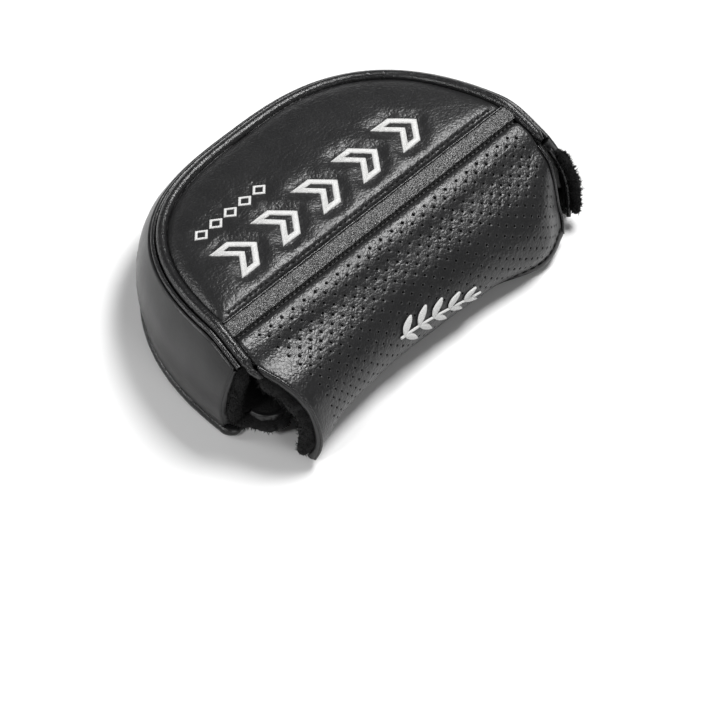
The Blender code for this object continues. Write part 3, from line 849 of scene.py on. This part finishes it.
def face_relief(spot, u, v):
    """Soft hollows and creases of the padded face, in millimetres outwards."""
    relief = 0.30 * ripple(spot.x, spot.y, spot.z, 19.0, 5.0)
    relief += 0.08 * ripple(spot.x, spot.y, spot.z, 6.5, 6.0)
    return relief * ease(v / 0.12) * ease((1 - v) / 0.1) * ease(u / 0.03) * ease((1 - u) / 0.03)


def face_place(u, v):
    spot, out = face_spot(u, v)
    spot = spot + out * face_relief(spot, u, v)
    return world(*spot)


def perforated(u, v):
    """Whether the leather has a hole here: it is left whole along its borders."""
    left = 0.045 + 0.02 * ease(v / 0.25)
    return left < u < 0.968 and 0.05 < v < 0.92


def make_face_leather():
    piece = sewn_sheet("face_leather", FACE_COLS, FACE_ROWS, face_place)
    columns = FACE_COLS + 1
    lattice = []
    for j in range(FACE_ROWS + 1):
        for i in range(columns):
            if (i + j) % 2 == 0 and perforated(i / FACE_COLS, 1 - j / FACE_ROWS):
                lattice.append(j * columns + i)
    choose(piece)
    for group in (piece.data.vertices, piece.data.edges, piece.data.polygons):
        group.foreach_set("select", [False] * len(group))
    for index in lattice:
        piece.data.vertices[index].select = True
    bpy.ops.object.mode_set(mode="EDIT")
    bpy.ops.mesh.select_mode(type="VERT")
    bpy.ops.mesh.bevel(offset=HOLE_RADIUS * MM, segments=2, profile=0.5, affect="VERTICES",
                       clamp_overlap=False)
    bpy.ops.mesh.select_mode(type="FACE")
    bpy.ops.mesh.inset(thickness=0.07 * MM, depth=-0.12 * MM)
    bpy.ops.mesh.inset(thickness=0.05 * MM, depth=-HOLE_DEPTH * MM)
    bpy.ops.object.mode_set(mode="OBJECT")
    # The hole bottoms get the near-black hole_shade finish: painted shade inside the perforations.
    bottoms = [face.index for face in piece.data.polygons if face.select]
    finished(piece, "flap", body=None, nodes=["face_flap", "flap_yoke"])
    piece.data.materials.append(FINISHES["hole"])
    for index in bottoms:
        piece.data.polygons[index].material_index = 1
    smooth(piece)
    bpy.ops.object.shade_smooth()
    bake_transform(piece)
    return piece


# ---- gusset wall, its pipings, and the hems and plush of its two mouths

def wall_spot(u, rise, outward=0.0):
    """A point on the wall's face: u from heel mouth to toe mouth, rise from crown to welt."""
    place = u * (len(WALL_TOP) - 1)
    i = min(int(place), len(WALL_TOP) - 2)
    t = place - i
    top = WALL_TOP[i].lerp(WALL_TOP[i + 1], t)
    low = WALL_LOW[i].lerp(WALL_LOW[i + 1], t)
    along = (WALL_LOW[i + 1] - WALL_LOW[i]).normalized()
    bulge = WALL_BULGE * math.sin(math.pi * min(max(rise, 0), 1)) + outward
    x = low.x + (top.x - low.x) * rise - along.y * bulge
    y = low.y + (top.y - low.y) * rise + along.x * bulge
    height = CROWN_BASE + (seam_height(top.y) - WELT_DROP - CROWN_BASE) * rise
    return Vector((x, y, height))


WALL_TOP = [Vector(p) for p in outline(SOLE_OUTLINE, HEEL_MOUTH_Y, TOE_MOUTH_TOP_Y, 300, WELT_OUT)]
WALL_LOW = [Vector(p) for p in outline(CROWN_OUTLINE, HEEL_MOUTH_Y, TOE_MOUTH_LOW_Y, 300)]


PIPING_TACK = ((-62.6, -12.4, 28.6), (-62.3, -14.0, 27.9), (-61.6, -15.6, 27.0),
               (-60.6, -16.6, 26.0), (-59.4, -16.9, 25.2))


def make_wall():
    def place(u, v):
        rise = 0.97 - 0.99 * v
        spot = wall_spot(u, rise)
        wave = 0.5 * ripple(spot.x, spot.y, spot.z, 22.0, 7.0)
        wave += 0.16 * ripple(spot.x, spot.y, spot.z, 7.0, 8.0)
        wave *= math.sin(math.pi * min(max(rise, 0), 1)) ** 0.7
        wave *= ease(u / 0.05) * ease((1 - u) / 0.05)
        spot = wall_spot(u, rise, wave)
        return world(*spot)

    piece = sewn_sheet("gusset_leather", 260, 26, place)
    finished(piece, "wall", nodes=["gusset_wall"])

    line = outline(SOLE_OUTLINE, FOLD_Y + 0.3, FOLD_Y + 0.3, 120)
    line = Line([world(x, y, seam_height(y)) for x, y in line])
    piece = cord_piece("main_piping", line, MAIN_CORD + 0.35, 0.4, 16, 0.05, 3.0)
    finished(piece, "cord", nodes=["upper_piping"])
    line = outline(SOLE_OUTLINE, HEEL_MOUTH_Y - 1.0, TOE_MOUTH_TOP_Y - 1.0, 120, WELT_OUT)
    line = Line([world(x, y, seam_height(y) - WELT_DROP) for x, y in line])
    tack = Line([world(*p) for p in PIPING_TACK])
    piece = cord_piece("outer_welt", line, OUTER_WELT, 0.5, 12, 0.04)
    finished(piece, "cord", nodes=["upper_welt"])
    piece = cord_piece("piping_tack", tack, 1.05, 0.35, 14, 0.08, 1.6)
    finished(piece, "cord")
    line = outline(CROWN_OUTLINE, HEEL_MOUTH_Y - 0.4, TOE_MOUTH_LOW_Y, 120)
    line = [(-62.8, -13.4), (-65.3, -12.6)] + line
    line = Line([world(x, y, BASE_CORD) for x, y in line])
    piece = cord_piece("base_piping", line, BASE_CORD, 0.5, 16, 0.03, 2.5)
    finished(piece, "cord", nodes=["lower_piping"])


def mouth_line(side, low, high, back=0.0, ahead=0.0, out=0.0, count=24):
    """A line up one mouth's edge, back along the wall or ahead of it, outside the wall's face."""
    points = []
    for i in range(count):
        rise = low + (high - low) * i / (count - 1)
        u = back if side < 0 else 1 - back
        points.append(world(*(wall_spot(u, rise, out) - Vector((0, ahead, 0)))))
    return Line(points, up=Vector((0, -1, 0)))


HEM_PROFILE = [(-0.1, -3.1), (0.55, -2.7), (0.8, -1.6), (0.75, -0.5), (0.4, 0.35), (-0.4, 0.75),
               (-1.4, 0.75), (-2.3, 0.45), (-2.3, -0.1), (-1.2, -0.5), (-0.5, -1.6), (-0.4, -2.9)]


def make_mouths():
    for name, side, node in (("heel_hem_roll", -1, "heel_hem"), ("toe_hem_roll", 1, "toe_hem")):
        line = mouth_line(side, 0.02, 0.93)
        profile = [(side * a, b) for a, b in HEM_PROFILE]
        piece = profile_piece(name, line, 0.6, profile, 0.12)
        finished(piece, "wall", nodes=[node])
    line = mouth_line(-1, 0.03, 0.92, back=0.0165, out=0.12)
    piece = stitches("heel_hem_seam", line, 2.1, 2.0, 0.36)
    finished(piece, "black", nodes=["heel_hem_stitch"])
    line = mouth_line(1, 0.0, 0.90, ahead=2.6, out=-2.4)
    piece = cord_piece("toe_mouth_bead", line, 0.7, 0.5, 12, 0.05)
    finished(piece, "cord", nodes=["toe_mouth_welt"])
    line = mouth_line(1, 0.03, 0.87, ahead=3.7, out=-0.8)
    piece = plush_roll("toe_mouth_plush", line, 1.65, 1100, 11)
    finished(piece, "plush", nodes=["toe_plush_roll"])
    line = mouth_line(-1, 0.02, 0.97, ahead=1.2, out=-2.9)
    piece = plush_roll("heel_mouth_plush", line, 2.3, 1100, 12)
    finished(piece, "plush")


def flap_line(across, start, end, depth, out=0.0, count=40):
    """A line down the flap at a depth behind its face, out past its edge in the flap's plane."""
    points = []
    for i in range(count):
        down = start + (end - start) * i / (count - 1)
        spot, outward, aside = flap_frame(across, down)
        points.append(world(*(spot - outward * depth + aside * out)))
    return Line(points, up=Vector((0, -0.7, 0.7)))


def flap_frame(across, down):
    """A point on the flap's face, its outward direction, and the direction out past its edge."""
    raw = (len(YOKE_PROFILE) + down * (len(FLAP_SECTIONS[0]) - 1)) / (len(FACE_SECTIONS[0]) - 1)
    step = 0.01
    a = face_raw(min(across + step, 1), raw) - face_raw(max(across - step, 0), raw)
    b = face_raw(across, min(raw + step, 1)) - face_raw(across, raw - step)
    a.normalize()
    return face_raw(across, raw), b.cross(a).normalized(), a if across > 0.5 else -a


def plush_roll(name, line, radius, fibres, seed, ends=3.0):
    """A lumpy roll of plush with its pile standing out of it."""
    pitch = 0.45
    count = int(line.length / (pitch * MM))
    frames = [(line.at(i / count), line.axes(i / count)) for i in range(count + 1)]

    def spot(i, turn):
        centre, (_, beside, over) = frames[i]
        around = beside * math.cos(turn) + over * math.sin(turn)
        place = centre / MM + around * radius
        lump = 1 + 0.30 * ripple(*place, 3.4, seed) + 0.16 * ripple(*place, 1.3, seed)
        along = min(i, count - i) * pitch
        lump *= 0.35 + 0.65 * ease(along / ends) ** 0.5
        return centre + around * radius * lump * MM, around

    roll = swept(name, count, 18, lambda u, v: spot(round(u * count), math.tau * v)[0])
    draw = np.random.default_rng(seed)
    roots = [spot(int(draw.integers(1, count)), draw.uniform(0, math.tau))
             for _ in range(fibres)]
    return joined(name, [roll, tufts("pile", roots, 0.95, 0.13, seed)])


HEM_BAND_PROFILE = [(1.35 * math.cos(a), 0.55 * math.sin(a))
                    for a in np.linspace(0, math.tau, 15)[:-1]]


EDGE_BAND_WIDTH = 2.5
EDGE_BAND_SWELL = 0.8


def edge_band(name, across):
    """The smooth band that wraps one side edge of the flap, rounded over the layers' ends."""
    def place(u, v):
        down = 0.015 + 0.965 * v
        spot, outward, aside = flap_frame(across, down)
        share = u if across < 0.5 else 1 - u
        depth = EDGE_BAND_WIDTH * (1 - share) - 0.15
        swell = EDGE_BAND_SWELL * math.sin(math.pi * min(max(share * 0.94 + 0.03, 0), 1)) ** 0.7 + 0.12
        wave = 0.16 * ripple(spot.x, spot.y + depth, spot.z, 4.5, 9.0)
        wave += 0.07 * ripple(spot.x, spot.y + depth, spot.z, 1.6, 10.0)
        return world(*(spot - outward * depth + aside * (swell + wave)))

    return sewn_sheet(name, 14, 90, place, 0.6)


HEM_SEAM_DOWN = 0.88
HEM_SEAM_RISE = 0.12
HEM_BAND_DOWN = 0.945
HEM_START = 0.62
HEM_REACH = 0.365


def hem_line(down, rise=0.0):
    """A line along the flap's hem towards the toe, risen off the leather."""
    spots = [flap_frame(HEM_START + HEM_REACH * i / 50, down) for i in range(51)]
    points = [world(*(spot + outward * rise)) for spot, outward, _ in spots]
    return Line(points, up=Vector((0, -0.9, 0.4)))


def make_flap_edges():
    for name, across, node, seed in (("heel_edge", 0.0, "heel_edge_binding", 21),
                                     ("toe_edge", 1.0, "toe_edge_binding", 22)):
        piece = edge_band(f"{name}_band", across)
        finished(piece, "wall", "flap", [node])
        line = flap_line(across, 0.0, 0.985, -0.05, 0.15)
        piece = cord_piece(f"{name}_bead", line, 0.5, 0.4, 10, 0.05)
        finished(piece, "cord", "flap")
        line = flap_line(across, 0.03, 0.99, 4.4, -0.3 if across else 0.4)
        piece = plush_roll(f"{name}_plush", line, 2.3, 800, seed)
        finished(piece, "plush", "flap")
    piece = stitches("flap_hem_seam", hem_line(HEM_SEAM_DOWN, HEM_SEAM_RISE), 2.6, 2.0, 0.24)
    finished(piece, "black", "flap")
    piece = profile_piece("flap_hem_band", hem_line(HEM_BAND_DOWN), 0.6, HEM_BAND_PROFILE, 0.1)
    finished(piece, "wall", "flap")


# ---- the sprig embroidered on the flap

SPRIG_LENGTH = 25.0
FLAP_LENGTH = 36.0
SPRIG_ROOT = (0.318, 0.385)
SPRIG_TIP = (0.552, 0.525)
SPRIG_LEAVES = ((0.05, 0.62), (0.24, 0.66), (0.43, 0.62), (0.62, 0.54), (0.80, 0.42))


def sprig_surface(x, y):
    """A point of the flap's leather x along the sprig and y above it, both in millimetres."""
    start, end = Vector(SPRIG_ROOT), Vector(SPRIG_TIP)
    spot = start + (end - start) * (x / SPRIG_LENGTH) + Vector((0, -y / FLAP_LENGTH))
    place, outward, _ = flap_frame(spot.x, spot.y)
    return world(*(place + outward * 0.25)), outward


def leaf_ribs(start, end, width):
    """Threads across one pointed leaf from its root to its tip."""
    start, end = Vector(start), Vector(end)
    along = (end - start).normalized()
    aside = Vector((-along.y, along.x))
    steps = 2 * max(5, round((end - start).length / THREAD_PITCH / 2))
    ribs = []
    for k in range(steps + 1):
        share = k / steps
        half = width / 2 * (0.12 + 0.88 * math.sin(math.pi * share) ** 0.75)
        spot = start.lerp(end, share) + aside * 0.25 * math.sin(math.pi * share)
        ribs.append((spot + aside * half - along * half * 0.5,
                     spot - aside * half + along * half * 0.5))
    return ribs


def make_sprig():
    stem = [Vector((SPRIG_LENGTH * k / 130, 0.5 * math.sin(k / 130 * 4.2))) for k in range(131)]
    ribs = [(p + Vector((0, 0.42)), p - Vector((0, 0.42))) for p in stem]
    made = [satin_ribs("stem", ribs, 0.42, sprig_surface)]
    for share, reach in SPRIG_LEAVES:
        root = stem[int(share * 130)]
        tip = root + Vector((3.6, 6.8 * reach))
        made.append(satin_ribs("leaf", leaf_ribs(root, tip, 2.0), 0.5, sprig_surface))
        tip = root + Vector((3.9, -5.4 * reach))
        made.append(satin_ribs("leaf", leaf_ribs(root, tip, 2.0), 0.5, sprig_surface))
    piece = joined("sprig_embroidery", made)
    finished(piece, "white", "flap", ["flap_sprig"])


# ---- crown edge and the closure tongue

CROWN_FRONT_Y = -20.9
CROWN_CORNER = 6.0
CROWN_END_X = 61.0
CROWN_MIDDLE_Z = 6.6
SCALLOP_X = -45.0
SCALLOP_RADIUS = 8.5
SCALLOP_DEPTH = 7.2


def crown_front():
    """The crown's front edge in plan, heel to toe: a corner, the scallop, a straight, a corner."""
    corner, points = CROWN_CORNER, []
    for turn in np.linspace(0, math.pi / 2, 9):
        points.append((-CROWN_END_X + corner * (1 - math.cos(turn)),
                       CROWN_FRONT_Y + corner * (1 - math.sin(turn))))
    for turn in np.linspace(0, math.pi, 25):
        points.append((SCALLOP_X - SCALLOP_RADIUS * math.cos(turn),
                       CROWN_FRONT_Y + SCALLOP_DEPTH * math.sin(turn)))
    points += [(x, CROWN_FRONT_Y) for x in np.linspace(-34, 52, 30)]
    for turn in np.linspace(0, math.pi / 2, 9):
        points.append((CROWN_END_X - corner * (1 - math.sin(turn)),
                       CROWN_FRONT_Y + corner * (1 - math.cos(turn))))
    return points


def make_crown_edge():
    line = Line([world(x, y, CROWN_MIDDLE_Z) for x, y in crown_front()])
    turns = np.linspace(-math.pi / 2, math.pi / 2, 11)
    profile = [(0.15 + 0.9 * math.cos(a), 2.85 * math.sin(a)) for a in turns]
    profile += [(-0.5, 2.75), (-0.55, 0.9), (-0.55, -0.9), (-0.5, -2.75)]
    piece = profile_piece("crown_edge_band", line, 0.6, profile, 0.14)
    finished(piece, "wall", nodes=["crown_front_binding"])
    heel = [(-65.2, -12.4)] + [(x, y - 0.5) for x, y in crown_front() if x < -35.5]
    line = Line([world(x, y, CROWN_MIDDLE_Z - 1.0 + 2.2 * ease((x + 58) / 8)) for x, y in heel])
    piece = plush_roll("hosel_notch_plush", line, 2.3, 1100, 13)
    finished(piece, "plush")

TONGUE_ROOT_Y = -22.3
TONGUE_TIP_Y = 12.0
TONGUE_MIDDLE_X = -5.0
TONGUE_HALF = 29.0
TONGUE_CORNER = 9.0
TONGUE_THICK = 0.7


def tongue_half(y, inset=0.0):
    """Half the tongue's width at a depth: straight sides, then rounded corners at its tip."""
    tip, corner = TONGUE_TIP_Y - inset, TONGUE_CORNER - inset
    past = max(y - (tip - corner), 0.0)
    return TONGUE_HALF - inset - corner + math.sqrt(max(corner ** 2 - past ** 2, 0.0))


TONGUE_STITCH_INSET = 2.0
TONGUE_STITCH_ROOT_Y = TONGUE_ROOT_Y + 3
PAD_CENTRES_X = (-22, -5, 12)
PAD_RADIUS = 5.2


def make_tongue():
    root = TONGUE_ROOT_Y - 1.5

    def place(u, v):
        y = root + (TONGUE_TIP_Y - 0.02 - root) * math.sin((1 - v) * math.pi / 2)
        x = TONGUE_MIDDLE_X + (2 * u - 1) * tongue_half(y)
        wave = 0.06 * ripple(x, y, 0, 6.0, 12.0)
        return world(x, y, TONGUE_THICK + 0.05 + wave)

    piece = sewn_sheet("tongue_cover", 70, 60, place, TONGUE_THICK)
    finished(piece, "wall", body=None, nodes=["tongue_leather"])
    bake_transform(piece)

    def lining(u, v):
        y = TONGUE_ROOT_Y + 0.8 + (TONGUE_TIP_Y - TONGUE_ROOT_Y - 1.5) * math.sin(
            (1 - v) * math.pi / 2)
        x = TONGUE_MIDDLE_X + (2 * u - 1) * tongue_half(y, 0.6)
        pads = sum(math.exp(-(math.hypot(x - m, y + 1.0) / PAD_RADIUS) ** 6) for m in PAD_CENTRES_X)
        return world(x, y, 2.66 + 0.14 * pads + 0.04 * ripple(x, y, 0, 5.0, 13.0))

    piece = sewn_sheet("tongue_facing", 90, 60, lining, TONGUE_THICK)
    finished(piece, "cord", "tongue", ["tongue_lining"])
    points = []
    stitched = TONGUE_TIP_Y - TONGUE_STITCH_INSET - TONGUE_STITCH_ROOT_Y
    for i in range(61):
        y = TONGUE_STITCH_ROOT_Y + stitched * math.sin(i / 60 * math.pi / 2)
        points.append((tongue_half(y, TONGUE_STITCH_INSET), y))
    ring = [(-x, y) for x, y in points] + points[::-1][1:]
    for name, level in (("tongue_outer_stitch", 0.0), ("tongue_inner_stitch", 2.85)):
        line = Line([world(TONGUE_MIDDLE_X + x, y, level) for x, y in ring])
        piece = stitches(name, line, 2.6, 2.0, 0.2)
        finished(piece, "black", "tongue")


# ---- layers made from the CAD solids: foam and plush

def soft_layer(name, node, finish, body, grow, voxel, size):
    """A foam or plush layer: the node's own form, remeshed evenly and given its uneven surface."""
    piece = frame["nodes"][node].copy()
    piece.data = piece.data.copy()
    for key in list(piece.keys()):
        del piece[key]
    piece.parent = None
    bpy.context.collection.objects.link(piece)
    piece.name = piece.data.name = name
    piece.hide_render = piece.hide_viewport = False
    choose(piece)
    bpy.ops.object.mode_set(mode="EDIT")
    bpy.ops.mesh.select_all(action="SELECT")
    bpy.ops.mesh.remove_doubles(threshold=1e-6)
    bpy.ops.object.mode_set(mode="OBJECT")
    apply_modifier(piece, "REMESH", mode="VOXEL", voxel_size=voxel * MM)
    move_out(piece, lambda spot: grow * (ripple(*spot, size) + 0.5 * ripple(*spot, size * 0.4, 3)))
    bpy.ops.object.shade_smooth()
    return finished(piece, finish, body, [node])


def make_layers():
    piece = soft_layer("crown_leather", "crown_panel", "panel", "shell", 0.12,
                       0.7, 6.0)
    for part, body in (("sole", "shell"), ("wall", "shell"), ("crown", "shell"), ("flap", "flap")):
        soft_layer(f"{part}_foam_layer", f"{part}_foam", "foam", body, 0.05, 0.7, 3.0)
        piece = soft_layer(f"{part}_plush", f"{part}_lining", "plush", body, 0.35, 0.8,
                           1.8)


# ---- camera, floor and lights

def dress_metal_and_board():
    """The magnets and their board keep their CAD form; they only get a finish."""
    for name, node in frame["nodes"].items():
        finish = "nickel" if "magnet" in name else "board" if name == "tongue_board" else None
        if finish:
            node.data.materials.clear()
            node.data.materials.append(FINISHES[finish])


def set_stage():
    deselect()
    bpy.ops.mesh.primitive_plane_add(size=6, location=(0, 0, -0.0002))
    floor = bpy.context.object
    floor.name = "studio_floor"
    paper = Finish("floor_paper", (0.86, 0.86, 0.86), 0.9)
    paper.bump(paper.noise(paper.place(), 1.5), 0.02, 0.2)
    floor.data.materials.append(paper.material)

    camera = bpy.data.cameras.new("camera")
    camera.lens = 255.75
    camera.clip_start = 0.1
    holder = bpy.data.objects.new("camera", camera)
    bpy.context.scene.collection.objects.link(holder)
    ahead = Vector((0.49564, 0.37867, -0.78163)).normalized()
    right = Vector((0.67846, -0.73068, 0.07623))
    right = (right - ahead * right.dot(ahead)).normalized()
    over = right.cross(ahead)
    target = Vector((0, SEAM_Y * MM, 0.0015)) + right * 0.000918 - over * 0.02243
    spot = target - ahead * 1.5
    holder.matrix_world = Matrix((right, over, -ahead)).transposed().to_4x4()
    holder.matrix_world.translation = spot
    bpy.context.scene.camera = holder

    world_light = bpy.data.worlds.new("studio")
    world_light.use_nodes = True
    background = world_light.node_tree.nodes["Background"]
    background.inputs["Color"].default_value = (1, 1, 1, 1)
    background.inputs["Strength"].default_value = 0.10
    bpy.context.scene.world = world_light
    bpy.context.scene.view_settings.view_transform = "Standard"

    middle = Vector((0, 0, 0.02))
    for name, towards, distance, size, power in (
            ("key", (0.47, 0.02, 0.88), 0.90, 0.32, 9.5),
            ("left", (-0.80, 0.05, 0.60), 0.8, 0.12, 1.8),
            ("front", (-0.25, -0.85, 0.45), 0.9, 0.30, 1.6),
            ("back", (-0.55, 0.72, 0.42), 0.9, 0.25, 2.4)):
        lamp = bpy.data.lights.new(name, "AREA")
        lamp.shape = "SQUARE"
        lamp.size = size
        lamp.energy = power
        holder = bpy.data.objects.new(name, lamp)
        bpy.context.scene.collection.objects.link(holder)
        away = Vector(towards).normalized()
        holder.location = middle + away * distance
        holder.rotation_euler = away.to_track_quat("Z", "Y").to_euler()


set_stage()
make_sole_pad()
make_embroidery()
make_strip()
make_face_leather()
make_wall()
make_mouths()
make_flap_edges()
make_sprig()
make_crown_edge()
make_tongue()
make_layers()
dress_metal_and_board()
